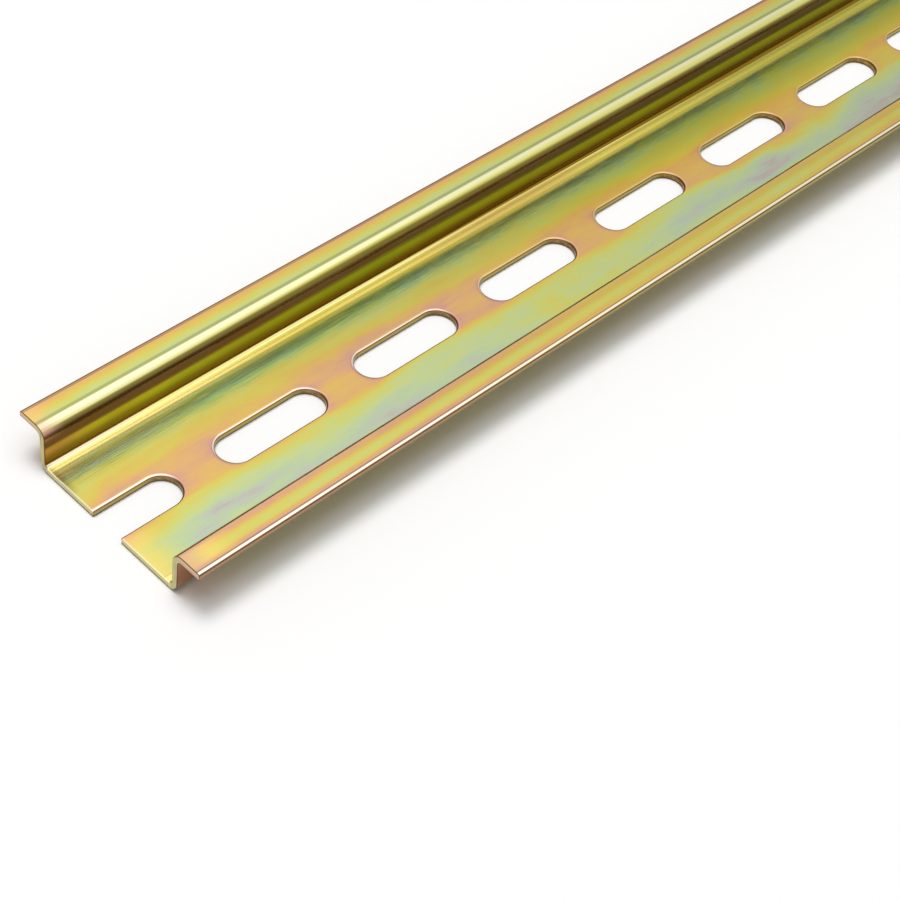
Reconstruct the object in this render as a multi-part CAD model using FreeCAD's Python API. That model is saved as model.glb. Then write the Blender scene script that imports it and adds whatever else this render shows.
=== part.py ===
import FreeCAD, Part
import os

# Rail section, in mm: a top hat 35 wide and 7.5 high in 1 mm sheet
rail_length = 300.0
rail_width = 35.0
rail_height = 7.5
sheet_thickness = 1.0
hat_width = 27.0
bend_inside_radius = 0.8
lip_top_edge_radius = 0.4
lip_under_edge_radius = 0.2
cut_end_rounding = 0.15

# Row of punched slots
slot_length = 18.0
slot_width = 5.5
slot_pitch = 25.0
first_slot_from_end = 2.5
slot_rim_bevel = 0.2

# Values that follow from the ones above
half_length = rail_length / 2
half_width = rail_width / 2
half_hat = hat_width / 2
bend_outside_radius = bend_inside_radius + sheet_thickness
inner_face_y = half_hat - sheet_thickness
under_lip_z = rail_height - sheet_thickness

# Edge rounding that the sheet and the lip's own corners leave room for
most_of_edge = 0.45 * sheet_thickness
lip_top_rounding = min(lip_top_edge_radius, most_of_edge)
lip_under_rounding = min(lip_under_edge_radius, most_of_edge)
end_rounding = min(cut_end_rounding, 0.8 * lip_under_rounding)
rim_bevel = min(slot_rim_bevel, most_of_edge)

# Length below which two points of the model count as one
tiny = 1e-6


def at(y, z):
    return FreeCAD.Vector(-half_length, y, z)


def rounded_outline(corners):
    # Each corner is (y, z, radius): an arc replaces it, and straight runs join the arcs
    arcs = []
    count = len(corners)
    for index in range(count):
        y, z, radius = corners[index]
        corner = at(y, z)
        before = at(corners[index - 1][0], corners[index - 1][1])
        after = at(corners[(index + 1) % count][0], corners[(index + 1) % count][1])
        start = corner + (before - corner).normalize() * radius
        end = corner + (after - corner).normalize() * radius
        centre = start + end - corner
        middle = centre + (corner - centre).normalize() * radius
        arcs.append((start, middle, end))
    edges = []
    for index in range(count):
        start, middle, end = arcs[index]
        next_start = arcs[(index + 1) % count][0]
        edges.append(Part.Arc(start, middle, end).toShape())
        edges.append(Part.LineSegment(end, next_start).toShape())
    return Part.Wire(edges)


# Section outline, walked round the sheet from the +Y lip to the -Y lip and back
section = rounded_outline([
    (half_width, under_lip_z, lip_under_rounding),
    (half_width, rail_height, lip_top_rounding),
    (inner_face_y, rail_height, bend_outside_radius),
    (inner_face_y, sheet_thickness, bend_inside_radius),
    (-inner_face_y, sheet_thickness, bend_inside_radius),
    (-inner_face_y, rail_height, bend_outside_radius),
    (-half_width, rail_height, lip_top_rounding),
    (-half_width, under_lip_z, lip_under_rounding),
    (-half_hat, under_lip_z, bend_inside_radius),
    (-half_hat, 0, bend_outside_radius),
    (half_hat, 0, bend_outside_radius),
    (half_hat, under_lip_z, bend_inside_radius),
])
rail = Part.Face(section).extrude(FreeCAD.Vector(rail_length, 0, 0))

# Rounding round both cut ends, left by shearing and plating
end_edges = []
for edge in rail.Edges:
    box = edge.BoundBox
    if box.XLength < tiny:
        end_edges.append(edge)
rail = rail.makeFillet(end_rounding, end_edges)


def slot_prism(width, length, bottom, top):
    half_straight = (length - width) / 2
    radius = width / 2
    left = FreeCAD.Vector(-half_straight, 0, bottom)
    right = FreeCAD.Vector(half_straight, 0, bottom)
    up = FreeCAD.Vector(0, radius, 0)
    along = FreeCAD.Vector(radius, 0, 0)
    outline = Part.Wire([
        Part.LineSegment(left + up, right + up).toShape(),
        Part.Arc(right + up, right + along, right - up).toShape(),
        Part.LineSegment(right - up, left - up).toShape(),
        Part.Arc(left - up, left - along, left + up).toShape(),
    ])
    return Part.Face(outline).extrude(FreeCAD.Vector(0, 0, top - bottom))


# Slot punch: a long-hole prism with a wider head, bevelled where they meet, so that the
# slot's rim is broken on the inside of the hat, where the punch goes in
punch_overrun = 1.0
head_margin = rim_bevel + punch_overrun
punch_top = sheet_thickness + punch_overrun
shank = slot_prism(slot_width, slot_length, -punch_overrun, punch_top)
head = slot_prism(slot_width + 2 * head_margin, slot_length + 2 * head_margin, sheet_thickness, punch_top)
punch = shank.fuse(head).removeSplitter()
rim_edges = []
for edge in punch.Edges:
    box = edge.BoundBox
    on_sheet_top = box.ZLength < tiny and abs(box.ZMin - sheet_thickness) < tiny
    on_shank = box.YMax < slot_width / 2 + tiny and box.YMin > -slot_width / 2 - tiny
    if on_sheet_top and on_shank:
        rim_edges.append(edge)
punch = punch.makeChamfer(rim_bevel, rim_edges)

# The row starts with an open notch at the -X end and runs on through the +X end
slot_cuts = []
slot_centre = first_slot_from_end
while slot_centre - slot_length / 2 < rail_length:
    slot_cuts.append(punch.translated(FreeCAD.Vector(slot_centre - half_length, 0, 0)))
    slot_centre = slot_centre + slot_pitch
rail = rail.cut(slot_cuts)

os.makedirs("parts", exist_ok=True)
solid = rail.Solids[0]
solid.exportStep("parts/slotted_rail.step")
print("solids", len(rail.Solids), "valid", solid.isValid(), "faces", len(solid.Faces))
print("volume cm3", round(solid.Volume / 1000, 3), "box", solid.BoundBox)
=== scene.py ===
import math
from types import SimpleNamespace

import bpy
from mathutils import Matrix, Vector


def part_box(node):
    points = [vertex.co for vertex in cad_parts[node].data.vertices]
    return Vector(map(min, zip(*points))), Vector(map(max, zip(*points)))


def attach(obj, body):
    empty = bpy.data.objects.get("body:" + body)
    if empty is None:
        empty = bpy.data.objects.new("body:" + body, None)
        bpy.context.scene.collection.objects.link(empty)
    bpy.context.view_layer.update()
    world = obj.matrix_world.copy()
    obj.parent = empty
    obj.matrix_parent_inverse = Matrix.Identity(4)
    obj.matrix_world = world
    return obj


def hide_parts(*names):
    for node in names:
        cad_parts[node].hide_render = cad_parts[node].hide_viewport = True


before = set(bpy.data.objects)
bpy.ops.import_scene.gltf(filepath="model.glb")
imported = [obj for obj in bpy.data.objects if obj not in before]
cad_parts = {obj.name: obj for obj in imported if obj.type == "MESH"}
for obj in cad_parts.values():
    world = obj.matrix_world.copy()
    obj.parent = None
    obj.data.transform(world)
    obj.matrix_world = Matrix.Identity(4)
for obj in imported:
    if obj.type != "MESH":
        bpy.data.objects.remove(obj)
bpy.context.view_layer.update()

mm = 0.001  # the scene is in metres, and the sizes below are easier to read in mm
railLow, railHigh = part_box("slotted_rail")
print("frame loaded:", sorted(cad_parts))


# Small helpers for node trees

def addNode(tree, kind, **settings):
    node = tree.nodes.new(kind)
    for key, value in settings.items():
        setattr(node, key, value)
    return node


def plug(tree, value, socket):
    # value is another node's output, or a plain number, colour or vector
    if isinstance(value, bpy.types.NodeSocket):
        tree.links.new(value, socket)
    else:
        socket.default_value = value


def calc(tree, operation, *values, clamp=False):
    node = addNode(tree, "ShaderNodeMath", operation=operation, use_clamp=clamp)
    for socket, value in zip(node.inputs, values):
        plug(tree, value, socket)
    return node.outputs[0]


def along(tree, axis, distance):
    # a vector along one axis
    node = addNode(tree, "ShaderNodeCombineXYZ")
    plug(tree, distance, node.inputs[axis])
    return node.outputs[0]


def filletCorners(tree, curve, steps, radius):
    node = addNode(tree, "GeometryNodeFilletCurve", mode="POLY")
    plug(tree, curve, node.inputs["Curve"])
    plug(tree, steps, node.inputs["Count"])
    plug(tree, radius, node.inputs["Radius"])
    return node.outputs[0]


def solidAlong(tree, low, high, profile):
    # the profile drawn out along Z from low to high, and closed at both ends
    line = addNode(tree, "GeometryNodeCurvePrimitiveLine", mode="POINTS")
    plug(tree, along(tree, "Z", low), line.inputs["Start"])
    plug(tree, along(tree, "Z", high), line.inputs["End"])
    solid = addNode(tree, "GeometryNodeCurveToMesh")
    plug(tree, line.outputs[0], solid.inputs["Curve"])
    plug(tree, profile, solid.inputs["Profile Curve"])
    plug(tree, True, solid.inputs["Fill Caps"])
    return solid.outputs[0]


def setModifierInputs(modifier, values):
    # a modifier keeps its inputs under the socket's identifier, not its name
    for item in modifier.node_group.interface.items_tree:
        if item.item_type == "SOCKET" and item.in_out == "INPUT" and item.name in values:
            modifier[item.identifier] = values[item.name]


# The rail

rail = {
    "length": railHigh.x - railLow.x,
    "width": railHigh.y - railLow.y,
    "height": railHigh.z - railLow.z,
    "thickness": 1.0 * mm,
    "hatWidth": 27.0 * mm,
    "bendRadius": 0.8 * mm,
    "lipTopRadius": 0.4 * mm,
    "lipUnderRadius": 0.2 * mm,
    "bendSteps": 14,
    "slotLength": 18.0 * mm,
    "slotWidth": 5.5 * mm,
    "slotPitch": 25.0 * mm,
    "firstSlot": 2.5 * mm,  # from the cut end at -X to the middle of the open slot
    "slotSteps": 24,
    "rimRound": 0.2 * mm,
    "underRimShare": 0.3,  # of the top rim's rounding
    "endShare": 0.75,  # the same, round the cut ends
    "roundSteps": 4,
}

railInputs = {
    "Geometry": ["Section"],
    "Float": ["Length", "Sheet", "Slot Length", "Slot Width", "Slot Pitch", "First Slot",
              "Under Rim Share", "End Share"],
    "Int": ["Bend Steps", "Slot Count", "Slot Steps"],
    "Material": ["Material"],
}


def sectionCurve():
    # closed outline of the section, x across the rail and y up; each corner keeps its radius
    halfWidth = rail["width"] / 2
    halfHat = rail["hatWidth"] / 2
    height = rail["height"]
    sheet = rail["thickness"]
    inner = rail["bendRadius"]
    outer = inner + sheet
    rightHalf = [
        (halfHat, 0, outer),
        (halfHat, height - sheet, inner),
        (halfWidth, height - sheet, rail["lipUnderRadius"]),
        (halfWidth, height, rail["lipTopRadius"]),
        (halfHat - sheet, height, outer),
        (halfHat - sheet, sheet, inner),
    ]
    leftHalf = [(-x, y, radius) for x, y, radius in reversed(rightHalf)]
    corners = rightHalf + leftHalf
    curve = bpy.data.curves.new("railSection", "CURVE")
    curve.dimensions = "3D"
    spline = curve.splines.new("POLY")
    spline.points.add(len(corners) - 1)
    for point, (x, y, radius) in zip(spline.points, corners):
        point.co = (x, y, 0, 1)
        point.radius = radius
    spline.use_cyclic_u = True
    return curve


def railTree():
    tree = bpy.data.node_groups.new("slottedRail", "GeometryNodeTree")
    for kind, names in railInputs.items():
        for name in names:
            tree.interface.new_socket(name=name, in_out="INPUT", socket_type="NodeSocket" + kind)
    tree.interface.new_socket(name="Rail", in_out="OUTPUT", socket_type="NodeSocketGeometry")
    given = addNode(tree, "NodeGroupInput").outputs
    half = calc(tree, "MULTIPLY", given["Length"], 0.5)
    minusHalf = calc(tree, "MULTIPLY", half, -1.0)

    # section: the corners turn into arcs, each with the radius kept on its point
    cornerRadius = addNode(tree, "GeometryNodeInputRadius").outputs[0]
    section = filletCorners(tree, given["Section"], given["Bend Steps"], cornerRadius)

    # sheet: the section drawn out, then turned so that it runs along X
    turned = addNode(tree, "GeometryNodeTransform")
    plug(tree, solidAlong(tree, minusHalf, half, section), turned.inputs["Geometry"])
    plug(tree, (math.pi / 2, 0, math.pi / 2), turned.inputs["Rotation"])

    # punch: a long hole, run past both faces of the base
    slab = addNode(tree, "GeometryNodeCurvePrimitiveQuadrilateral", mode="RECTANGLE")
    plug(tree, given["Slot Length"], slab.inputs["Width"])
    plug(tree, given["Slot Width"], slab.inputs["Height"])
    # a hair under half the width, so that the arcs' ends don't fall on one point
    endRadius = calc(tree, "MULTIPLY", given["Slot Width"], 0.4999)
    longHole = filletCorners(tree, slab.outputs[0], given["Slot Steps"], endRadius)
    underBase = calc(tree, "MULTIPLY", given["Sheet"], -1.0)
    overBase = calc(tree, "MULTIPLY", given["Sheet"], 2.0)
    punch = solidAlong(tree, underBase, overBase, longHole)

    # one punch at each slot of the row
    row = addNode(tree, "GeometryNodeMeshLine", mode="OFFSET")
    rowStart = calc(tree, "ADD", minusHalf, given["First Slot"])
    plug(tree, given["Slot Count"], row.inputs["Count"])
    plug(tree, along(tree, "X", rowStart), row.inputs["Start Location"])
    plug(tree, along(tree, "X", given["Slot Pitch"]), row.inputs["Offset"])
    punches = addNode(tree, "GeometryNodeInstanceOnPoints")
    plug(tree, row.outputs[0], punches.inputs["Points"])
    plug(tree, punch, punches.inputs["Instance"])
    realPunches = addNode(tree, "GeometryNodeRealizeInstances")
    plug(tree, punches.outputs[0], realPunches.inputs["Geometry"])
    cut = addNode(tree, "GeometryNodeMeshBoolean", operation="DIFFERENCE", solver="EXACT")
    plug(tree, turned.outputs[0], cut.inputs["Mesh 1"])
    plug(tree, realPunches.outputs[0], cut.inputs["Mesh 2"])
    slotEdge = cut.outputs["Intersecting Edges"]

    # how much each sharp edge is rounded: slot rims, and the outline of both cut ends
    place = addNode(tree, "ShaderNodeSeparateXYZ")
    plug(tree, addNode(tree, "GeometryNodeInputPosition").outputs[0], place.inputs[0])
    raised = calc(tree, "DIVIDE", place.outputs["Z"], given["Sheet"], clamp=True)
    rimWeight = addNode(tree, "ShaderNodeMapRange")
    plug(tree, raised, rimWeight.inputs["Value"])
    plug(tree, given["Under Rim Share"], rimWeight.inputs["To Min"])
    plug(tree, 1.0, rimWeight.inputs["To Max"])
    fromMiddle = calc(tree, "ABSOLUTE", place.outputs["X"])
    atEnd = calc(tree, "GREATER_THAN", fromMiddle, calc(tree, "SUBTRACT", half, 0.001 * mm))
    endWeight = calc(tree, "MULTIPLY", atEnd, given["End Share"])
    slotWeight = calc(tree, "MULTIPLY", rimWeight.outputs[0], slotEdge)
    marked = addNode(tree, "GeometryNodeStoreNamedAttribute", data_type="FLOAT", domain="EDGE")
    plug(tree, cut.outputs["Mesh"], marked.inputs["Geometry"])
    plug(tree, "bevel_weight_edge", marked.inputs["Name"])
    plug(tree, calc(tree, "MAXIMUM", endWeight, slotWeight), marked.inputs["Value"])

    smooth = addNode(tree, "GeometryNodeSetShadeSmooth")
    plug(tree, marked.outputs[0], smooth.inputs["Geometry"])
    realRail = addNode(tree, "GeometryNodeRealizeInstances")
    plug(tree, smooth.outputs[0], realRail.inputs["Geometry"])
    finished = addNode(tree, "GeometryNodeSetMaterial")
    plug(tree, realRail.outputs[0], finished.inputs["Geometry"])
    plug(tree, given["Material"], finished.inputs["Material"])
    plug(tree, finished.outputs[0], addNode(tree, "NodeGroupOutput").inputs[0])
    return tree


def makeRail(material):
    drawing = bpy.data.objects.new("railDrawing", sectionCurve())
    bpy.context.scene.collection.objects.link(drawing)
    shape = drawing.modifiers.new("slottedRail", "NODES")
    shape.node_group = railTree()
    reach = rail["length"] + rail["slotLength"] / 2 - rail["firstSlot"]
    setModifierInputs(shape, {
        "Length": rail["length"],
        "Sheet": rail["thickness"],
        "Bend Steps": rail["bendSteps"],
        "Slot Length": rail["slotLength"],
        "Slot Width": rail["slotWidth"],
        "Slot Pitch": rail["slotPitch"],
        "First Slot": rail["firstSlot"],
        "Slot Count": math.ceil(reach / rail["slotPitch"]),
        "Slot Steps": rail["slotSteps"],
        "Under Rim Share": rail["underRimShare"],
        "End Share": rail["endShare"],
        "Material": material,
    })
    graph = bpy.context.evaluated_depsgraph_get()
    cutMesh = bpy.data.meshes.new_from_object(drawing.evaluated_get(graph))
    bpy.data.objects.remove(drawing)

    # the sharp edges are rounded by the weights from the tree, and flats keep flat normals
    piece = bpy.data.objects.new("slottedRail", cutMesh)
    bpy.context.scene.collection.objects.link(piece)
    rounding = piece.modifiers.new("rounding", "BEVEL")
    rounding.limit_method = "WEIGHT"
    rounding.width = rail["rimRound"]
    rounding.segments = rail["roundSteps"]
    rounding.use_clamp_overlap = False
    piece.modifiers.new("flats", "WEIGHTED_NORMAL")
    graph = bpy.context.evaluated_depsgraph_get()
    rounded = piece.evaluated_get(graph)
    mesh = bpy.data.meshes.new_from_object(rounded, preserve_all_data_layers=True, depsgraph=graph)
    piece.modifiers.clear()
    piece.data = mesh
    print("rail mesh:", len(mesh.vertices), "points,", len(mesh.polygons), "faces")
    return piece


# Finish: yellow passivated zinc, whose film shows a different colour at each thickness

finish = {
    "filmColours": [  # share of the film's full thickness, then its colour
        (0.00, (0.85, 0.64, 0.56)),
        (0.12, (0.89, 0.70, 0.48)),
        (0.24, (0.90, 0.74, 0.42)),
        (0.36, (0.88, 0.79, 0.38)),
        (0.48, (0.86, 0.82, 0.42)),
        (0.59, (0.82, 0.84, 0.49)),
        (0.71, (0.79, 0.84, 0.59)),
        (0.83, (0.75, 0.82, 0.66)),
        (0.93, (0.76, 0.78, 0.71)),
        (1.00, (0.76, 0.73, 0.68)),
    ],
    # film thickness across the base, from its middle (0) to the bend (1), on either side of the slots
    "farBase": [(0.0, 0.18), (0.22, 0.14), (0.3, 0.23), (0.38, 0.36), (0.48, 0.46), (0.6, 0.6),
                (0.72, 0.74), (0.8, 0.72), (0.88, 0.6), (1.0, 0.5)],
    "nearBase": [(0.0, 0.18), (0.2, 0.18), (0.25, 0.34), (0.32, 0.54), (0.42, 0.7), (0.56, 0.8),
                 (0.7, 0.82), (0.8, 0.76), (0.92, 0.6), (1.0, 0.5)],
    # film thickness up the walls, and across the lips from the wall (0) to the edge (1)
    "upWall": [(0.0, 0.4), (0.3, 0.36), (0.45, 0.3), (0.62, 0.3), (0.7, 0.4), (1.0, 0.5)],
    "farLip": [(0.0, 0.6), (0.2, 0.66), (0.36, 0.6), (0.52, 0.44), (0.68, 0.27), (0.85, 0.1),
               (1.0, 0.05)],
    "nearLip": [(0.0, 0.06), (0.18, 0.12), (0.3, 0.34), (0.42, 0.52), (0.58, 0.5), (0.7, 0.16),
                (0.82, 0.04), (1.0, 0.04)],
    "footThickness": 0.4,  # film where the base turns up
    "slotThinning": 0.22,  # film lost at the slots' ends
    "slotThinFall": 1.4,  # how fast that fades, for each mm
    "endThickness": 0.47,  # film at the cut ends
    "endSlotThinning": 0.42,  # film lost there, beside a slot
    "endSlotFall": 1.1,
    "furtherGain": 0.1,  # film gained along the rail, from pink to gold on the webs
    "cloudStrength": 0.24,
    "blotStrength": 0.14,
    "streakStrength": 0.09,
    "bandWander": 2.2,  # mm by which the bands across the base wander
    "startWander": 3.5,  # mm by which the tints by the cut end wander
    "noises": {  # cells in each mm along X, Y and Z, then detail and roughness
        "wander": ((0.05, 0.22, 0.22), 2.0, 0.5),
        "clouds": ((0.09, 0.35, 0.35), 3.0, 0.55),
        "blots": ((0.2, 0.6, 0.6), 4.0, 0.65),
        "streaks": ((0.12, 3.2, 3.2), 4.0, 0.65),
        "dashes": ((0.18, 9.0, 9.0), 3.0, 0.6),
    },
    "patches": [  # soft clouds seen in the film: x from the cut end, y, half length, half width, change
        (6.0, -8.0, 5.0, 2.2, 0.1),
        (13.0, -6.6, 3.0, 0.8, 0.16),
        (18.5, -7.3, 4.0, 0.9, 0.12),
        (31.0, -9.2, 7.0, 1.3, 0.12),
        (38.0, -5.2, 6.0, 1.0, -0.14),
        (45.0, -8.8, 6.0, 1.3, 0.12),
        (60.0, -9.2, 9.0, 1.4, 0.06),
        (75.0, -6.0, 6.0, 1.6, -0.1),
        (60.0, -5.8, 9.0, 1.8, -0.07),
        (91.0, -9.2, 8.0, 1.2, -0.12),
        (111.0, -6.6, 8.0, 1.4, 0.09),
        (117.0, -4.4, 7.0, 1.0, 0.22),
        (80.0, 5.8, 22.0, 1.8, 0.09),
        (127.0, -7.8, 6.0, 1.3, 0.12),
        (134.0, -4.8, 6.0, 1.4, -0.3),
        (32.0, 9.3, 9.0, 1.0, 0.12),
        (150.0, 8.8, 9.0, 1.5, -0.12),
        (14.0, 6.2, 8.0, 1.5, -0.13),
        (4.0, 5.6, 8.0, 3.0, -0.09),
        (6.0, 8.0, 7.0, 0.9, -0.12),
        (80.0, -8.6, 12.0, 2.4, -0.28),
        (112.0, -10.0, 12.0, 1.4, -0.2),
        (130.0, -9.9, 9.0, 1.6, -0.25),
        (127.0, -5.4, 4.0, 1.3, 0.26),
    ],
    # tints over the film, each laid over the ones before it: blend, colour, how much it covers, and
    # steps that all have to be passed (what is measured, where the tint starts, where it is full)
    "tints": [
        # paler green on the far side, by the cut end
        ("MIX", (0.90, 1.0, 0.74), 0.8,
         [("fromStart", 45.0, 15.0), ("y", 8.2, 9.8), ("pastFoot", 0.0, -0.2)]),
        # dark dashes by the far wall
        ("MIX", (0.31, 0.48, 0.21), 0.42,
         [("dashes", 0.42, 0.58), ("y", 6.6, 8.6), ("pastFoot", -0.3, -0.8), ("z", 1.3, 1.1),
          ("blots", 0.2, 0.5)]),
        # green band by the far wall
        ("MULTIPLY", (0.88, 1.06, 0.92), 1.0,
         [("fromStart", 12.0, 25.0), ("fromStart", 75.0, 55.0), ("y", 7.8, 8.6), ("pastFoot", 0.0, -0.3)]),
        # gold on the far side, further along
        ("MULTIPLY", (1.0, 1.0, 0.6), 1.0,
         [("fromStart", 60.0, 110.0), ("y", -2.0, 3.0), ("z", 1.3, 1.1)]),
        # teal dashes by the far wall, further along
        ("MIX", (0.50, 0.62, 0.46), 0.4,
         [("fromStart", 45.0, 80.0), ("blots", 0.48, 0.62), ("y", 6.8, 8.4), ("pastFoot", -0.2, -0.6),
          ("z", 1.3, 1.1)]),
        # pale gold on the near side of the open slot
        ("MIX", (1.0, 0.90, 0.52), 0.6,
         [("wavyStart", 5.5, 0.0), ("y", -2.9, -4.2), ("z", 1.3, 1.1)]),
        # yellow strip just before the foot
        ("MIX", (0.97, 0.92, 0.32), 0.5,
         [("pastFoot", -0.8, -0.3), ("pastFoot", 0.3, 0.0), ("z", 1.3, 1.1), ("fromStart", 18.0, 40.0)]),
        # pink corner at the open slot's mouth
        ("MIX", (0.97, 0.74, 0.54), 0.8,
         [("wavyStart", 3.5, -0.5), ("y", -2.8, -3.0), ("y", -6.0, -3.2)]),
        # gold on the near lip, by the cut end
        ("MIX", (1.0, 0.88, 0.48), 0.75,
         [("fromStart", 9.0, 1.0), ("y", -13.5, -14.2), ("y", -16.9, -16.0), ("z", 7.2, 7.4)]),
        # gold corner of the far lip
        ("MIX", (0.98, 0.80, 0.52), 0.6,
         [("wavyStart", 4.0, 0.0), ("y", 14.2, 14.6), ("z", 7.2, 7.4)]),
        # duller near lip, beside its bend
        ("MIX", (0.52, 0.42, 0.18), 0.1,
         [("fromStart", 15.0, 50.0), ("y", -15.4, -14.6), ("y", -12.0, -13.0), ("z", 7.2, 7.4)]),
    ],
    "paintedFarShade": (0.24, 0.33, 0.08),  # painted shade on the base towards the far wall
    "paleFilmAndHighlight": (0.96, 0.94, 0.79),  # film stretched thin on the far bend, with a painted highlight on it
    "bendYellow": (0.97, 0.97, 0.42),  # the bend's colour is multiplied by this, below its pale top
    "pinkByEnd": (0.86, 0.67, 0.60),
    "footFilmAndHighlight": (0.93, 0.86, 0.43),  # along the foot of the wall: pale film with a painted highlight
    "footTop": (0.99, 0.95, 0.66),
    "footByEnd": (1.0, 0.96, 0.60),
    "footEnd": (1.0, 0.95, 0.82),
    "footFurther": (0.87, 0.73, 0.42),
    "footFar": (0.80, 0.78, 0.36),
    "footLine": (0.80, 0.58, 0.26),
    "darkBandColour": (0.41, 0.31, 0.29),  # painted shade: the dark band high on the walls inside the hat
    "darkBandTopColour": (0.49, 0.41, 0.21),
    "darkBandLitColour": (0.65, 0.54, 0.35),  # where the bend mirrors the dark side of the studio
    "wallFilm": (0.77, 0.63, 0.03),
    "wallFurther": (0.61, 0.61, 0.05),
    "wallLow": (0.42, 0.31, 0.03),
    "wallByEnd": (0.80, 0.50, 0.30),
    # a brown stain by the cut end, and painted shade along the foot of the wall
    "brownStainAndShade": (0.58, 0.45, 0.14),
    # painted highlights on the rounded edges
    "edgeHighlight": (0.99, 0.98, 0.90),
    "edgeFurther": (0.90, 0.81, 0.52),
    # painted shade: thin dark lines at edges, creases and feet
    "shadeLine": (0.35, 0.27, 0.14),
    "slotWall": (0.66, 0.63, 0.34),
    "slotTurn": (0.42, 0.34, 0.16),  # painted shade in streaks, round the slots' far ends
    "cutEnd": (0.77, 0.75, 0.54),
    "lipCutEnd": (0.82, 0.70, 0.62),
    "lipEdge": (0.62, 0.51, 0.40),
    "lipEdgeFurther": (0.65, 0.63, 0.43),
    "outside": (0.64, 0.58, 0.21),  # outer faces of the walls: film colour darkened with painted shade under the lips
    "outsideByEnd": (0.80, 0.58, 0.50),
    "cover": {  # how much of the film under it each of these hides
        "bendTop": 0.85,
        "foot": 0.85,
        "footLine": 0.35,
        "crease": 0.36,
        "midWall": 0.96,
        "darkBand": 0.93,
        "pinkEnd": 0.6,
        "stainAndShade": 0.88,
        "outside": 0.85,
        "bright": 0.8,
        "line": 0.85,
        "lipEdge": 0.9,
        "slotWall": 0.9,
        "cutEnd": 0.85,
    },
    "roughness": 0.2,
    "streakRoughness": 0.05,  # more or less, from streak to streak
    "shearedRoughness": 0.4,
    "streakDepth": 0.0014,  # mm
    "rimFall": 0.16,  # slope of the sheet where the punch drew it down round a slot
    "rimWidth": 0.5,  # mm
    "footRise": 0.21,  # slope of the base where it starts to turn up into the wall
    "lowWallLean": 0.1,  # slope gained over each mm of the wall's slight bow
    "highWallLean": 0.18,
}

# The rail's sizes in mm, and heights and widths that several masks share
size = SimpleNamespace(
    halfLength=rail["length"] / mm / 2,
    halfWidth=rail["width"] / mm / 2,
    halfHat=rail["hatWidth"] / mm / 2,
    height=rail["height"] / mm,
    halfSlot=rail["slotWidth"] / mm / 2,
    halfStraight=(rail["slotLength"] - rail["slotWidth"]) / mm / 2,
    pitch=rail["slotPitch"] / mm,
    baseTop=(1.1, 1.3),  # just above the base's upper face
    wallFoot=(11.9, 12.4),  # across the rail, where the base has turned up into the wall
    farInner=(12.0, 12.1),  # y where the far wall's inner side begins
)


def srgb(red, green, blue):
    # a colour as it looks on screen, turned into the linear values that shaders use
    def linear(c):
        return c / 12.92 if c <= 0.04045 else ((c + 0.055) / 1.055) ** 2.4
    return (linear(red), linear(green), linear(blue), 1.0)


def shown(name):
    return srgb(*finish[name])


def curveOf(tree, value, points):
    # a curve drawn through a few given (input, output) points, all from 0 to 1
    node = addNode(tree, "ShaderNodeFloatCurve")
    line = node.mapping.curves[0]
    line.points[0].location = points[0]
    line.points[1].location = points[-1]
    for point in points[1:-1]:
        line.points.new(*point)
    node.mapping.update()
    plug(tree, value, node.inputs["Value"])
    return node.outputs[0]


def mapRange(tree, value, fromMin, fromMax, toMin, toMax, smooth=False):
    node = addNode(tree, "ShaderNodeMapRange")
    if smooth:
        node.interpolation_type = "SMOOTHSTEP"
    for name, setting in (("Value", value), ("From Min", fromMin), ("From Max", fromMax),
                          ("To Min", toMin), ("To Max", toMax)):
        plug(tree, setting, node.inputs[name])
    return node.outputs["Result"]


def rise(tree, value, low, high):
    # 0 below low and 1 above high, with a soft step between them
    return mapRange(tree, value, low, high, 0.0, 1.0, smooth=True)


def fall(tree, value, low, high):
    return mapRange(tree, value, low, high, 1.0, 0.0, smooth=True)


def passed(tree, value, start, full):
    # 0 where the value is at start and 1 where it is at full, whichever of them is larger
    if start < full:
        return rise(tree, value, start, full)
    return fall(tree, value, full, start)


def both(tree, *masks):
    product = masks[0]
    for mask in masks[1:]:
        product = calc(tree, "MULTIPLY", product, mask)
    return product


def either(tree, *masks):
    largest = masks[0]
    for mask in masks[1:]:
        largest = calc(tree, "MAXIMUM", largest, mask)
    return largest


def unless(tree, mask):
    return calc(tree, "SUBTRACT", 1.0, mask)


def held(tree, value, low, high):
    # the value, kept between low and high
    return calc(tree, "MINIMUM", calc(tree, "MAXIMUM", value, low), high)


def squared(tree, value):
    return calc(tree, "MULTIPLY", value, value)


def mixValue(tree, share, low, high):
    node = addNode(tree, "ShaderNodeMix", data_type="FLOAT")
    plug(tree, share, node.inputs[0])
    plug(tree, low, node.inputs[2])
    plug(tree, high, node.inputs[3])
    return node.outputs[0]


def mixColour(tree, share, low, high, blend="MIX"):
    node = addNode(tree, "ShaderNodeMix", data_type="RGBA", blend_type=blend)
    plug(tree, share, node.inputs[0])
    plug(tree, low, node.inputs[6])
    plug(tree, high, node.inputs[7])
    return node.outputs[2]


def layOver(tree, colour, mask, name, film):
    # name says which entry of the cover table applies
    return mixColour(tree, both(tree, mask, finish["cover"][name]), colour, film)


def stretchedNoise(tree, point, scale, detail, roughness):
    # point is in mm, and scale says how many cells there are in 1 mm along X, Y and Z
    spread = addNode(tree, "ShaderNodeVectorMath", operation="MULTIPLY")
    plug(tree, point, spread.inputs[0])
    plug(tree, scale, spread.inputs[1])
    noise = addNode(tree, "ShaderNodeTexNoise")
    plug(tree, spread.outputs[0], noise.inputs["Vector"])
    noise.inputs["Scale"].default_value = 1.0
    noise.inputs["Detail"].default_value = detail
    noise.inputs["Roughness"].default_value = roughness
    return noise.outputs["Fac"]


def centred(tree, value, reach):
    # a noise from 0 to 1 becomes one from about -reach to reach
    return calc(tree, "MULTIPLY", calc(tree, "SUBTRACT", value, 0.5), 2 * reach)


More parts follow.
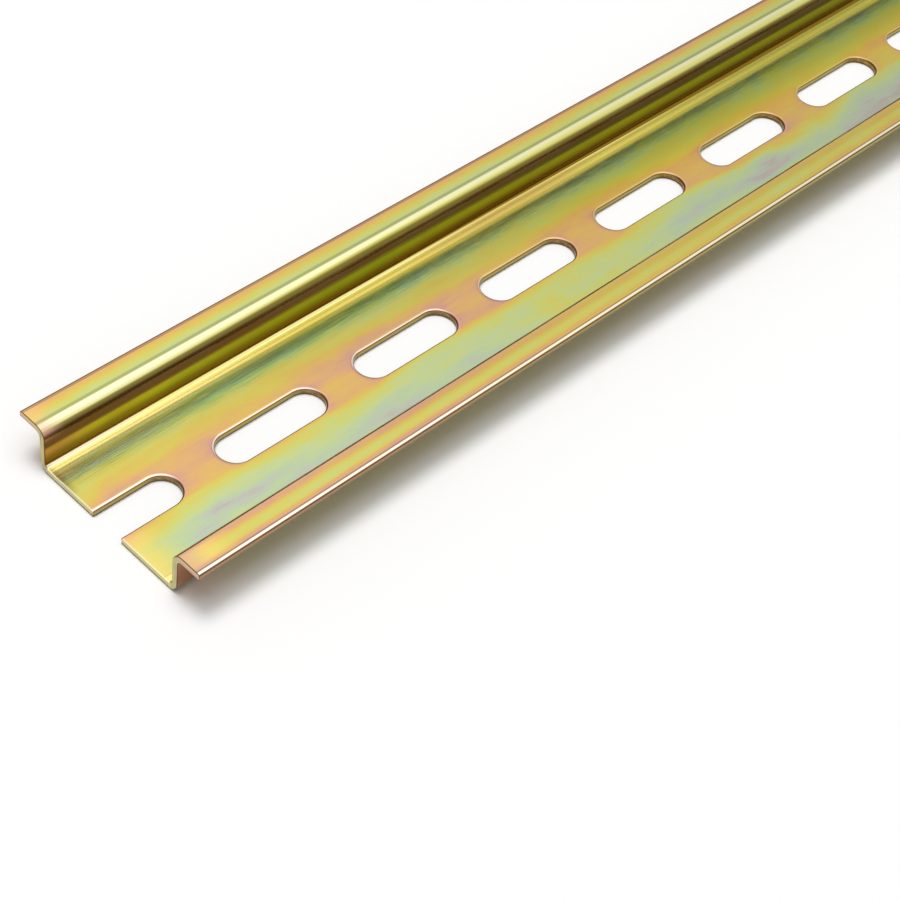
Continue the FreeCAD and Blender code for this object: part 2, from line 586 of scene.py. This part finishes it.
def surfacePlace(tree):
    # where on the rail a point lies, in mm, with the noises and masks that the colours share
    point = addNode(tree, "ShaderNodeVectorMath", operation="MULTIPLY")
    plug(tree, addNode(tree, "ShaderNodeTexCoord").outputs["Object"], point.inputs[0])
    plug(tree, (1 / mm, 1 / mm, 1 / mm), point.inputs[1])
    parts = addNode(tree, "ShaderNodeSeparateXYZ")
    plug(tree, point.outputs[0], parts.inputs[0])
    x, y, z = parts.outputs
    at = SimpleNamespace(y=y, z=z)
    for name, (scale, detail, roughness) in finish["noises"].items():
        setattr(at, name, stretchedNoise(tree, point.outputs[0], scale, detail, roughness))

    at.across = calc(tree, "ABSOLUTE", y)
    at.farSide = calc(tree, "GREATER_THAN", y, 0.0)
    at.fromStart = calc(tree, "ADD", x, size.halfLength)
    at.wavyStart = calc(tree, "ADD", at.fromStart, centred(tree, at.clouds, finish["startWander"]))
    at.fromEnd = calc(tree, "SUBTRACT", size.halfLength, calc(tree, "ABSOLUTE", x))

    # distance from the nearest slot's rim
    firstCentre = rail["firstSlot"] / mm - size.halfLength
    fromFirst = calc(tree, "SUBTRACT", x, firstCentre)
    at.fromSlot = calc(tree, "WRAP", fromFirst, size.pitch / 2, -size.pitch / 2)
    pastStraight = calc(tree, "SUBTRACT", calc(tree, "ABSOLUTE", at.fromSlot), size.halfStraight)
    at.pastEnd = calc(tree, "MAXIMUM", pastStraight, 0.0)
    reach = calc(tree, "SQRT", calc(tree, "MULTIPLY_ADD", at.pastEnd, at.pastEnd, squared(tree, y)))
    at.rimDistance = calc(tree, "MAXIMUM", calc(tree, "SUBTRACT", reach, size.halfSlot), 0.0)

    # the base's rise into the bend starts nearer the slots further along
    at.footStart = mapRange(tree, at.fromStart, 15.0, 95.0, 10.98, 10.45)
    at.pastFoot = calc(tree, "SUBTRACT", at.across, at.footStart)
    at.footEdge = calc(tree, "SUBTRACT", at.across, mapRange(tree, at.fromStart, 40.0, 140.0, 12.38, 11.92))

    at.flatBase = fall(tree, z, *size.baseTop)
    at.onWall = rise(tree, at.across, *size.wallFoot)
    at.farInner = rise(tree, y, *size.farInner)
    at.nearSlot = fall(tree, at.across, 4.0, 5.0)
    at.outer = both(tree, rise(tree, at.across, 13.1, 13.3), fall(tree, z, 6.7, 7.0))
    at.inside = unless(tree, at.outer)
    return at


def softPatches(tree, at):
    total = None
    for x0, y0, halfLong, halfWide, change in finish["patches"]:
        lengthwise = calc(tree, "DIVIDE", calc(tree, "SUBTRACT", at.fromStart, x0), halfLong)
        aside = calc(tree, "DIVIDE", calc(tree, "SUBTRACT", at.y, y0), halfWide)
        squares = calc(tree, "MULTIPLY_ADD", lengthwise, lengthwise, squared(tree, aside))
        swell = both(tree, calc(tree, "EXPONENT", calc(tree, "MULTIPLY", squares, -1.0)), change)
        total = swell if total is None else calc(tree, "ADD", total, swell)
    return total


def filmThickness(tree, at):
    # across the base
    wavyAcross = calc(tree, "ADD", at.across, centred(tree, at.wander, finish["bandWander"]))
    baseShare = calc(tree, "DIVIDE", wavyAcross, size.halfHat)
    farBase = curveOf(tree, baseShare, finish["farBase"])
    nearBase = curveOf(tree, baseShare, finish["nearBase"])
    base = mixValue(tree, at.farSide, nearBase, farBase)
    base = calc(tree, "ADD", base, softPatches(tree, at))
    # the film is thin at the slots' ends and towards the cut ends
    halo = calc(tree, "EXPONENT", calc(tree, "MULTIPLY", at.rimDistance, -finish["slotThinFall"]))
    halo = both(tree, halo, rise(tree, at.pastEnd, 0.0, 2.0), finish["slotThinning"])
    base = calc(tree, "SUBTRACT", base, halo)
    endReach = mixValue(tree, at.farSide, 9.0, 5.0)
    endShare = mapRange(tree, at.fromEnd, 0.0, endReach, 0.9, 0.0, smooth=True)
    slotNear = calc(tree, "EXPONENT", calc(tree, "MULTIPLY", at.rimDistance, -finish["endSlotFall"]))
    slotNear = calc(tree, "MULTIPLY", slotNear, finish["endSlotThinning"])
    endFilm = calc(tree, "SUBTRACT", finish["endThickness"], slotNear)
    base = mixValue(tree, endShare, base, endFilm)
    base = calc(tree, "ADD", base, mapRange(tree, at.fromStart, 60.0, 150.0, 0.0, finish["furtherGain"]))
    base = mixValue(tree, rise(tree, at.pastFoot, -0.35, 0.15), base, finish["footThickness"])

    # up the walls and across the lips
    wall = curveOf(tree, calc(tree, "DIVIDE", at.z, size.height), finish["upWall"])
    lipShare = mapRange(tree, at.across, size.halfHat, size.halfWidth, 0.0, 1.0)
    farLip = curveOf(tree, lipShare, finish["farLip"])
    nearLip = curveOf(tree, lipShare, finish["nearLip"])
    # further along, the near lip's pink turns to gold
    goldLip = mapRange(tree, nearLip, 0.04, 0.52, 0.27, 0.49)
    nearLip = mixValue(tree, rise(tree, at.fromStart, 35.0, 85.0), nearLip, goldLip)
    lip = mixValue(tree, at.farSide, nearLip, farLip)
    onLip = rise(tree, at.z, 6.2, 7.2)
    film = mixValue(tree, at.onWall, base, wall)
    film = mixValue(tree, onLip, film, lip)

    # the clouds are weaker on the lips
    cloudy = both(tree, centred(tree, at.clouds, finish["cloudStrength"]), mixValue(tree, onLip, 1.0, 0.5))
    film = calc(tree, "ADD", film, cloudy)
    film = calc(tree, "ADD", film, centred(tree, at.blots, finish["blotStrength"]))
    return calc(tree, "ADD", film, centred(tree, at.streaks, finish["streakStrength"]))


def filmColour(tree, at):
    ramp = addNode(tree, "ShaderNodeValToRGB")
    stops = ramp.color_ramp.elements
    colours = finish["filmColours"]
    stops[0].position = colours[0][0]
    stops[0].color = srgb(*colours[0][1])
    stops[1].position = colours[-1][0]
    stops[1].color = srgb(*colours[-1][1])
    for share, colour in colours[1:-1]:
        stops.new(share).color = srgb(*colour)
    plug(tree, filmThickness(tree, at), ramp.inputs["Fac"])
    colour = ramp.outputs["Color"]

    # painted shade: towards the far wall the base darkens, more so further along
    shade = both(tree, mapRange(tree, at.fromStart, 10.0, 120.0, 0.04, 0.38), rise(tree, at.y, 1.5, 7.5),
                 fall(tree, at.y, 8.8, 9.9), at.flatBase)
    colour = mixColour(tree, shade, colour, shown("paintedFarShade"))
    for blend, tint, cover, steps in finish["tints"]:
        mask = cover
        for name, start, full in steps:
            mask = both(tree, passed(tree, getattr(at, name), start, full), mask)
        tint = srgb(*tint) if blend == "MIX" else (*tint, 1.0)
        colour = mixColour(tree, mask, colour, tint, blend)
    return colour


def footColour(tree, at, colour):
    # the strip where the base turns up into the wall: pale film with a painted highlight, whiter by the cut
    # end and fading further along
    foot = both(tree, rise(tree, at.pastFoot, -0.35, 0.35), fall(tree, at.z, 1.5, 1.9))
    footHue = both(tree, rise(tree, at.fromStart, 62.0, 82.0), fall(tree, at.fromStart, 92.0, 108.0))
    footWhite = both(tree, fall(tree, at.fromStart, 6.0, 20.0), rise(tree, at.across, 11.9, 12.1))
    film = mixColour(tree, rise(tree, at.across, 11.85, 12.1), shown("footFilmAndHighlight"), shown("footTop"))
    film = mixColour(tree, fall(tree, at.fromStart, 15.0, 45.0), film, shown("footByEnd"))
    film = mixColour(tree, footWhite, film, shown("footEnd"))
    film = mixColour(tree, rise(tree, at.fromStart, 105.0, 150.0), film, shown("footFar"))
    film = mixColour(tree, both(tree, footHue, 0.7), film, shown("footFurther"))
    colour = layOver(tree, colour, foot, "foot", film)
    footLine = both(tree, rise(tree, at.pastFoot, -0.12, -0.02), fall(tree, at.pastFoot, 0.08, 0.25),
                    at.flatBase)
    return layOver(tree, colour, footLine, "footLine", shown("footLine"))


def wallColour(tree, at, colour):
    # the bend's pale top, thin film with a painted highlight, fades into the wall's dark band of painted
    # shade, over a wider strip further along
    bendFrom = mapRange(tree, at.fromStart, 60.0, 120.0, 6.8, 6.56)
    bendTo = calc(tree, "ADD", mapRange(tree, at.fromStart, 15.0, 60.0, 7.09, 7.3),
                  mapRange(tree, at.fromStart, 60.0, 120.0, 0.0, -0.24))
    aboveBend = rise(tree, at.z, bendFrom, bendTo)
    bendTop = both(tree, aboveBend, fall(tree, at.y, 13.8, 14.2), at.farInner)
    # painted highlight: pale film over the far bend's top
    colour = layOver(tree, colour, bendTop, "bendTop", shown("paleFilmAndHighlight"))
    colour = footColour(tree, at, colour)
    # painted shade: a dark crease line on the far lip, beside its bend
    crease = both(tree, rise(tree, at.y, 13.9, 14.15), fall(tree, at.y, 14.35, 14.7),
                  rise(tree, at.z, 7.3, 7.4))
    colour = layOver(tree, colour, crease, "crease", shown("shadeLine"))

    # the middle of the wall: orange by the cut end, gold, then green further along
    midWall = both(tree, rise(tree, at.footEdge, 0.0, 0.08), at.inside, fall(tree, at.z, 4.4, 4.9))
    film = mixColour(tree, rise(tree, at.fromStart, 15.0, 60.0), shown("wallFilm"), shown("wallFurther"))
    film = mixColour(tree, both(tree, fall(tree, at.fromStart, 0.5, 9.0), 0.85), film, shown("wallByEnd"))
    # painted shade: the wall darker towards its foot
    film = mixColour(tree, both(tree, fall(tree, at.z, 2.1, 3.7), 0.85), film, shown("wallLow"))
    colour = layOver(tree, colour, midWall, "midWall", film)

    # the dark band above it: painted shade
    darkBandStart = calc(tree, "ADD", mapRange(tree, at.fromStart, 10.0, 60.0, 4.35, 4.62),
                      mapRange(tree, at.fromStart, 60.0, 120.0, 0.0, -0.22))
    darkBand = both(tree, at.onWall, rise(tree, calc(tree, "SUBTRACT", at.z, darkBandStart), -0.5, 0.4), at.inside,
                 unless(tree, aboveBend))
    lit = both(tree, rise(tree, at.z, 5.94, 6.12), fall(tree, at.z, 6.24, 6.46),
               rise(tree, at.fromStart, 20.0, 50.0))
    film = mixColour(tree, rise(tree, at.z, 5.9, 6.5), shown("darkBandColour"), shown("darkBandTopColour"))
    film = mixColour(tree, lit, film, shown("darkBandLitColour"))
    colour = layOver(tree, colour, darkBand, "darkBand", film)

    # yellow between the dark band and the pale top, stronger further along
    yellowFrom = mapRange(tree, at.fromStart, 15.0, 65.0, 7.08, 7.16)
    yellowTo = mapRange(tree, at.fromStart, 15.0, 65.0, 7.58, 7.44)
    bendYellow = both(tree, rise(tree, at.z, 6.5, 6.8), fall(tree, at.z, yellowFrom, yellowTo), at.farInner,
                      mapRange(tree, at.fromStart, 10.0, 65.0, 0.35, 0.85))
    colour = mixColour(tree, bendYellow, colour, (*finish["bendYellow"], 1.0), "MULTIPLY")

    # pink and a brown stain by the cut end, and brown painted shade along the foot of the wall
    pinkEnd = both(tree, fall(tree, at.fromStart, 0.3, 4.0), at.onWall, rise(tree, at.z, 5.0, 6.5),
                   fall(tree, at.y, 13.9, 14.5), at.inside)
    colour = layOver(tree, colour, pinkEnd, "pinkEnd", shown("pinkByEnd"))
    stainEdge = both(tree, fall(tree, at.fromStart, 0.2, 1.2), rise(tree, at.y, 5.5, 8.0),
                     rise(tree, at.dashes, 0.35, 0.6), fall(tree, at.z, 1.1, 1.4), 0.7)
    footShade = both(tree, rise(tree, at.footEdge, -0.02, 0.06), at.inside, fall(tree, at.z, 1.6, 2.4))
    stainAndShade = either(tree, stainEdge, footShade)
    colour = layOver(tree, colour, stainAndShade, "stainAndShade", shown("brownStainAndShade"))
    # outer faces of the walls: film colour darkened with painted shade under the lips
    film = mixColour(tree, fall(tree, at.fromStart, 1.0, 8.0), shown("outside"), shown("outsideByEnd"))
    return layOver(tree, colour, at.outer, "outside", film)


def edgeColour(tree, at, colour):
    # returns the colour with the edges on it, and a mask of the sheared faces
    y, z, across = at.y, at.z, at.across
    nearSide = fall(tree, y, 0.0, 0.1)
    slotFarSide = rise(tree, y, -0.5, 2.0)
    onSheetTop = rise(tree, z, 0.8, 0.9)

    # painted highlights where the edges are rounded
    lipTip = both(tree, rise(tree, across, 16.96, 17.05), rise(tree, z, 7.42, 7.45), nearSide, 1.2)
    rimReach = calc(tree, "SUBTRACT", at.rimDistance, mapRange(tree, at.fromStart, 12.0, 16.0, 0.1, 0.02))
    farRim = both(tree, rise(tree, at.rimDistance, 0.06, 0.12), fall(tree, rimReach, 0.22, 0.34), at.nearSlot,
                  rise(tree, y, -0.5, 2.2), onSheetTop)
    endTop = both(tree, fall(tree, at.fromEnd, 0.16, 0.24), fall(tree, across, *size.wallFoot),
                  fall(tree, z, 1.1, 1.4), onSheetTop)
    bright = either(tree, lipTip, farRim, both(tree, endTop, 0.6))
    further = both(tree, farRim, rise(tree, at.fromStart, 45.0, 85.0))
    film = mixColour(tree, further, shown("edgeHighlight"), shown("edgeFurther"))
    colour = layOver(tree, colour, bright, "bright", film)

    # painted shade: dark lines where the rounding ends, under the slots' edges and round the cut ends
    tipLine = both(tree, rise(tree, across, 16.76, 16.86), fall(tree, across, 16.94, 17.0),
                   rise(tree, z, 7.4, 7.45), 0.65)
    lipLine = both(tree, rise(tree, across, 17.33, 17.37), rise(tree, z, 7.16, 7.2), fall(tree, z, 7.4, 7.43))
    farLine = both(tree, rise(tree, y, 17.0, 17.12), rise(tree, z, 7.0, 7.1))
    nearCrease = both(tree, rise(tree, z, 6.4, 6.6), fall(tree, across, 13.2, 13.45), nearSide)
    lineWidth = mixValue(tree, slotFarSide, 0.22, 0.1)
    rimLine = both(tree, calc(tree, "LESS_THAN", at.rimDistance, lineWidth), at.nearSlot,
                   rise(tree, z, 0.66, 0.74), mixValue(tree, slotFarSide, 1.1, 0.75))
    endLine = both(tree, rise(tree, at.fromEnd, 0.0, 0.02), fall(tree, at.fromEnd, 0.11, 0.16),
                   unless(tree, endTop))
    endFoot = both(tree, fall(tree, at.fromEnd, 0.12, 0.16), fall(tree, z, 0.24, 0.34))
    line = either(tree, tipLine, lipLine, farLine, rimLine, endLine, endFoot, nearCrease)
    colour = layOver(tree, colour, line, "line", shown("shadeLine"))

    # sheared faces: the lips' edges, the slots' walls and the cut ends
    lipEdge = both(tree, rise(tree, across, 17.44, 17.49), fall(tree, z, 7.1, 7.18))
    film = mixColour(tree, rise(tree, at.fromStart, 5.0, 125.0), shown("lipEdge"), shown("lipEdgeFurther"))
    colour = layOver(tree, colour, lipEdge, "lipEdge", film)
    slotWall = both(tree, fall(tree, at.rimDistance, 0.01, 0.05), at.nearSlot, fall(tree, z, 0.66, 0.74))
    # painted shade in streaks where the slots' walls turn round their far ends
    slotTurn = both(tree, rise(tree, at.fromSlot, 4.5, 8.0), rise(tree, at.streaks, 0.25, 0.6))
    # painted shade: dark along the foot of the slots' walls
    slotFoot = both(tree, at.nearSlot, fall(tree, z, 0.22, 0.4), 0.8)
    film = mixColour(tree, slotTurn, shown("slotWall"), shown("slotTurn"))
    film = mixColour(tree, slotFoot, film, shown("shadeLine"))
    colour = layOver(tree, colour, slotWall, "slotWall", film)
    cutEnd = both(tree, fall(tree, at.fromEnd, 0.0, 0.02), unless(tree, endFoot))
    film = mixColour(tree, rise(tree, across, 13.4, 14.6), shown("cutEnd"), shown("lipCutEnd"))
    colour = layOver(tree, colour, cutEnd, "cutEnd", film)
    return colour, either(tree, lipEdge, slotWall, cutEnd)


def reliefHeight(tree, at):
    # in mm: streaks, the drawn-down slot rims, the base's rise at the foot, and the wall's bow
    rimLeft = calc(tree, "MINIMUM", at.rimDistance, finish["rimWidth"])
    rimDrop = both(tree, calc(tree, "SUBTRACT", finish["rimWidth"], rimLeft), at.nearSlot, -finish["rimFall"])

    # the base's slope grows over the first stretch, and holds up to the bend
    turnBefore = 0.7  # mm before the foot's start
    turnLength = 1.1
    bendStart = 11.82
    turning = held(tree, calc(tree, "ADD", at.pastFoot, turnBefore), 0.0, turnLength)
    curved = both(tree, squared(tree, turning), finish["footRise"] / (2 * turnLength))
    fullSlope = calc(tree, "ADD", at.footStart, turnLength - turnBefore)
    straight = calc(tree, "SUBTRACT", calc(tree, "MINIMUM", at.across, bendStart), fullSlope)
    straight = both(tree, calc(tree, "MAXIMUM", straight, 0.0), finish["footRise"])
    footRise = calc(tree, "ADD", curved, straight)

    # the wall leans back near its foot, and again above the middle, until the bend has begun
    lowFrom = 1.8
    lowTo = 3.9
    highFrom = 4.3
    highTo = 6.0
    fadeLength = 0.8
    toMiddle = calc(tree, "SUBTRACT", lowTo, held(tree, at.z, lowFrom, lowTo))
    lowBow = calc(tree, "SUBTRACT", squared(tree, toMiddle), (lowTo - lowFrom) ** 2)
    lowBow = both(tree, lowBow, finish["lowWallLean"] / 2)
    aboveMiddle = calc(tree, "SUBTRACT", held(tree, at.z, highFrom, highTo), highFrom)
    onBend = calc(tree, "SUBTRACT", held(tree, at.z, highTo, highTo + fadeLength), highTo)
    fading = calc(tree, "SUBTRACT", onBend, both(tree, squared(tree, onBend), 1 / (2 * fadeLength)))
    highBow = both(tree, calc(tree, "ADD", aboveMiddle, fading), -finish["highWallLean"])
    bow = both(tree, calc(tree, "ADD", lowBow, highBow), at.inside)

    relief = calc(tree, "ADD", calc(tree, "ADD", rimDrop, footRise), bow)
    return calc(tree, "ADD", relief, centred(tree, at.streaks, finish["streakDepth"]))


def passivatedZinc():
    material = bpy.data.materials.new("passivatedZinc")
    material.use_nodes = True
    tree = material.node_tree
    tree.nodes.clear()
    at = surfacePlace(tree)
    colour = wallColour(tree, at, filmColour(tree, at))
    colour, sheared = edgeColour(tree, at, colour)
    shader = addNode(tree, "ShaderNodeBsdfPrincipled")
    plug(tree, colour, shader.inputs["Base Color"])
    shader.inputs["Metallic"].default_value = 1.0
    rough = mapRange(tree, at.streaks, 0.3, 0.7, finish["roughness"] - finish["streakRoughness"],
                     finish["roughness"] + finish["streakRoughness"])
    plug(tree, mixValue(tree, sheared, rough, finish["shearedRoughness"]), shader.inputs["Roughness"])
    bump = addNode(tree, "ShaderNodeBump")
    bump.inputs["Strength"].default_value = 1.0
    bump.inputs["Distance"].default_value = mm
    plug(tree, reliefHeight(tree, at), bump.inputs["Height"])
    plug(tree, bump.outputs[0], shader.inputs["Normal"])
    plug(tree, shader.outputs[0], addNode(tree, "ShaderNodeOutputMaterial").inputs["Surface"])
    return material


slottedRail = makeRail(passivatedZinc())
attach(slottedRail, "root")
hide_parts("slotted_rail")
print("rail finished")


# Studio: pale floor, two soft lamps overhead, and a dome that the metal mirrors

studio = {
    "floorSize": 6.0,
    "floorDrop": 0.02 * mm,  # below the rail's underside, so that the two don't share a plane
    "floorColour": (0.93, 0.93, 0.93, 1.0),
    "floorRoughness": 0.9,
    "domeLight": 0.34,
    "lamps": [  # place, size, power
        ((-0.15, 0.54, 3.0), 1.2, 35.0),
        ((-0.15, 0.0, 3.0), 2.7, 41.0),
    ],
    "mirrorBright": 1.08,
    "mirrorFaded": 0.7,  # towards the rail's far end
    "mirrorDark": 0.1,  # low on the camera's side
    "darkTilt": (-4, 22),  # degrees above the horizon, from full dark to none
    "darkDrop": 11,  # degrees by which the dark sinks towards the rail's far end
    "stripLight": 0.5,  # added in a patch overhead, in line with the rail
    "stripFaded": 0.05,
    "stripTilt": (58, 70, 100, 114),  # degrees: starts, full, full, ends
}


def makeFloor():
    half = studio["floorSize"] / 2
    z = -studio["floorDrop"]
    corners = [(-half, -half, z), (half, -half, z), (half, half, z), (-half, half, z)]
    mesh = bpy.data.meshes.new("studioFloor")
    mesh.from_pydata(corners, [], [(0, 1, 2, 3)])
    floor = bpy.data.objects.new("studioFloor", mesh)
    bpy.context.scene.collection.objects.link(floor)
    material = bpy.data.materials.new("paleFloor")
    material.use_nodes = True
    shader = material.node_tree.nodes["Principled BSDF"]
    shader.inputs["Base Color"].default_value = studio["floorColour"]
    shader.inputs["Roughness"].default_value = studio["floorRoughness"]
    shader.inputs["Specular IOR Level"].default_value = 0.0
    mesh.materials.append(material)


def makeWorld():
    world = bpy.data.worlds.new("studioDome")
    world.use_nodes = True
    tree = world.node_tree
    tree.nodes.clear()
    direction = addNode(tree, "ShaderNodeSeparateXYZ")
    plug(tree, addNode(tree, "ShaderNodeTexCoord").outputs["Generated"], direction.inputs[0])
    ahead, aside, up = direction.outputs
    level = mapRange(tree, ahead, 0.42, 0.78, studio["mirrorBright"], studio["mirrorFaded"])
    # tilt: from the horizon on the camera's side, over the top, to the far horizon
    tilt = calc(tree, "ARCTAN2", up, calc(tree, "MULTIPLY", aside, -1.0))
    drop = mapRange(tree, ahead, 0.43, 0.58, 0.0, math.radians(studio["darkDrop"]))
    darkFrom, darkTo = [math.radians(degrees) for degrees in studio["darkTilt"]]
    lowTilt = calc(tree, "ADD", tilt, drop)
    dark = both(tree, fall(tree, lowTilt, darkFrom, darkTo), rise(tree, ahead, -0.1, 0.25))
    level = mixValue(tree, dark, level, studio["mirrorDark"])
    starts, full, stillFull, ends = [math.radians(degrees) for degrees in studio["stripTilt"]]
    strip = both(tree, rise(tree, tilt, starts, full), fall(tree, tilt, stillFull, ends),
                 rise(tree, ahead, -0.2, 0.2))
    stripLevel = mapRange(tree, ahead, 0.42, 0.64, studio["stripLight"], studio["stripFaded"])
    level = calc(tree, "ADD", level, calc(tree, "MULTIPLY", strip, stripLevel))
    rays = addNode(tree, "ShaderNodeLightPath")
    strength = mixValue(tree, rays.outputs["Is Glossy Ray"], studio["domeLight"], level)
    strength = mixValue(tree, rays.outputs["Is Camera Ray"], strength, 1.0)
    background = addNode(tree, "ShaderNodeBackground")
    background.inputs["Color"].default_value = (1.0, 1.0, 1.0, 1.0)
    plug(tree, strength, background.inputs["Strength"])
    plug(tree, background.outputs[0], addNode(tree, "ShaderNodeOutputWorld").inputs["Surface"])
    bpy.context.scene.world = world


def makeLamp(place, diameter, power):
    data = bpy.data.lights.new("softLamp", "AREA")
    data.shape = "DISK"
    data.size = diameter
    data.energy = power
    lamp = bpy.data.objects.new("softLamp", data)
    bpy.context.scene.collection.objects.link(lamp)
    lamp.location = place
    lamp.rotation_euler = (-Vector(place)).to_track_quat("-Z", "Y").to_euler()
    lamp.visible_glossy = False


makeFloor()
makeWorld()
for place, diameter, power in studio["lamps"]:
    makeLamp(place, diameter, power)
print("studio ready")


# Camera, matched to the photo: 900 pixels wide, 36 mm sensor

camera = {
    "place": (-0.25465, -0.13281, 0.19888),
    "yaw": 37.82,  # degrees from +X towards +Y
    "pitch": 46.64,  # degrees below the horizon
    "roll": -9.78,
    "focalPixels": 2049.0,
    "imagePixels": 900.0,
    "sensor": 36.0,
    "clipStart": 0.005,
}


def makeCamera():
    data = bpy.data.cameras.new("photoCamera")
    data.sensor_width = camera["sensor"]
    data.lens = camera["focalPixels"] / camera["imagePixels"] * camera["sensor"]
    data.clip_start = camera["clipStart"]
    yaw = math.radians(camera["yaw"])
    pitch = math.radians(camera["pitch"])
    roll = math.radians(camera["roll"])
    forward = Vector((math.cos(yaw) * math.cos(pitch), math.sin(yaw) * math.cos(pitch), -math.sin(pitch)))
    levelRight = Vector((math.sin(yaw), -math.cos(yaw), 0.0))
    levelDown = forward.cross(levelRight)
    right = math.cos(roll) * levelRight + math.sin(roll) * levelDown
    down = -math.sin(roll) * levelRight + math.cos(roll) * levelDown
    turn = Matrix((right, -down, -forward)).transposed()
    viewer = bpy.data.objects.new("photoCamera", data)
    bpy.context.scene.collection.objects.link(viewer)
    viewer.matrix_world = Matrix.Translation(camera["place"]) @ turn.to_4x4()
    bpy.context.scene.camera = viewer


makeCamera()
bpy.context.scene.view_settings.view_transform = "Standard"
print("camera set")
